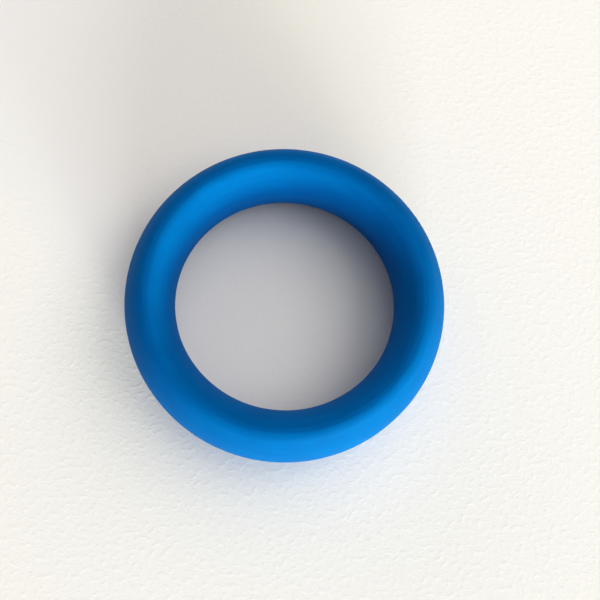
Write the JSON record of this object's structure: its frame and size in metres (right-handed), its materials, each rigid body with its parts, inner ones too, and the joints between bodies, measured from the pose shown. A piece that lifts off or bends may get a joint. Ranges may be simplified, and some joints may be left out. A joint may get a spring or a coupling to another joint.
{
  "type": "case opening friction ring",
  "caption": "Hand-held one-piece silicone rubber ring with a tall oval section, pressed on a screw-back watch case to turn it by friction.",
  "frame": {"origin": "middle of the ring's foot, on the surface it lies on", "axes": "+Z along the ring's own axis, from the foot up to the crest; the ring is the same all round, so +X and +Y are any two level directions"},
  "size_m": [0.065, 0.065, 0.0185],
  "materials": {
    "silicone_rubber": "matte"
  },
  "bodies": {
    "root": {"friction_ring": "silicone_rubber"}
  },
  "joints": []
}
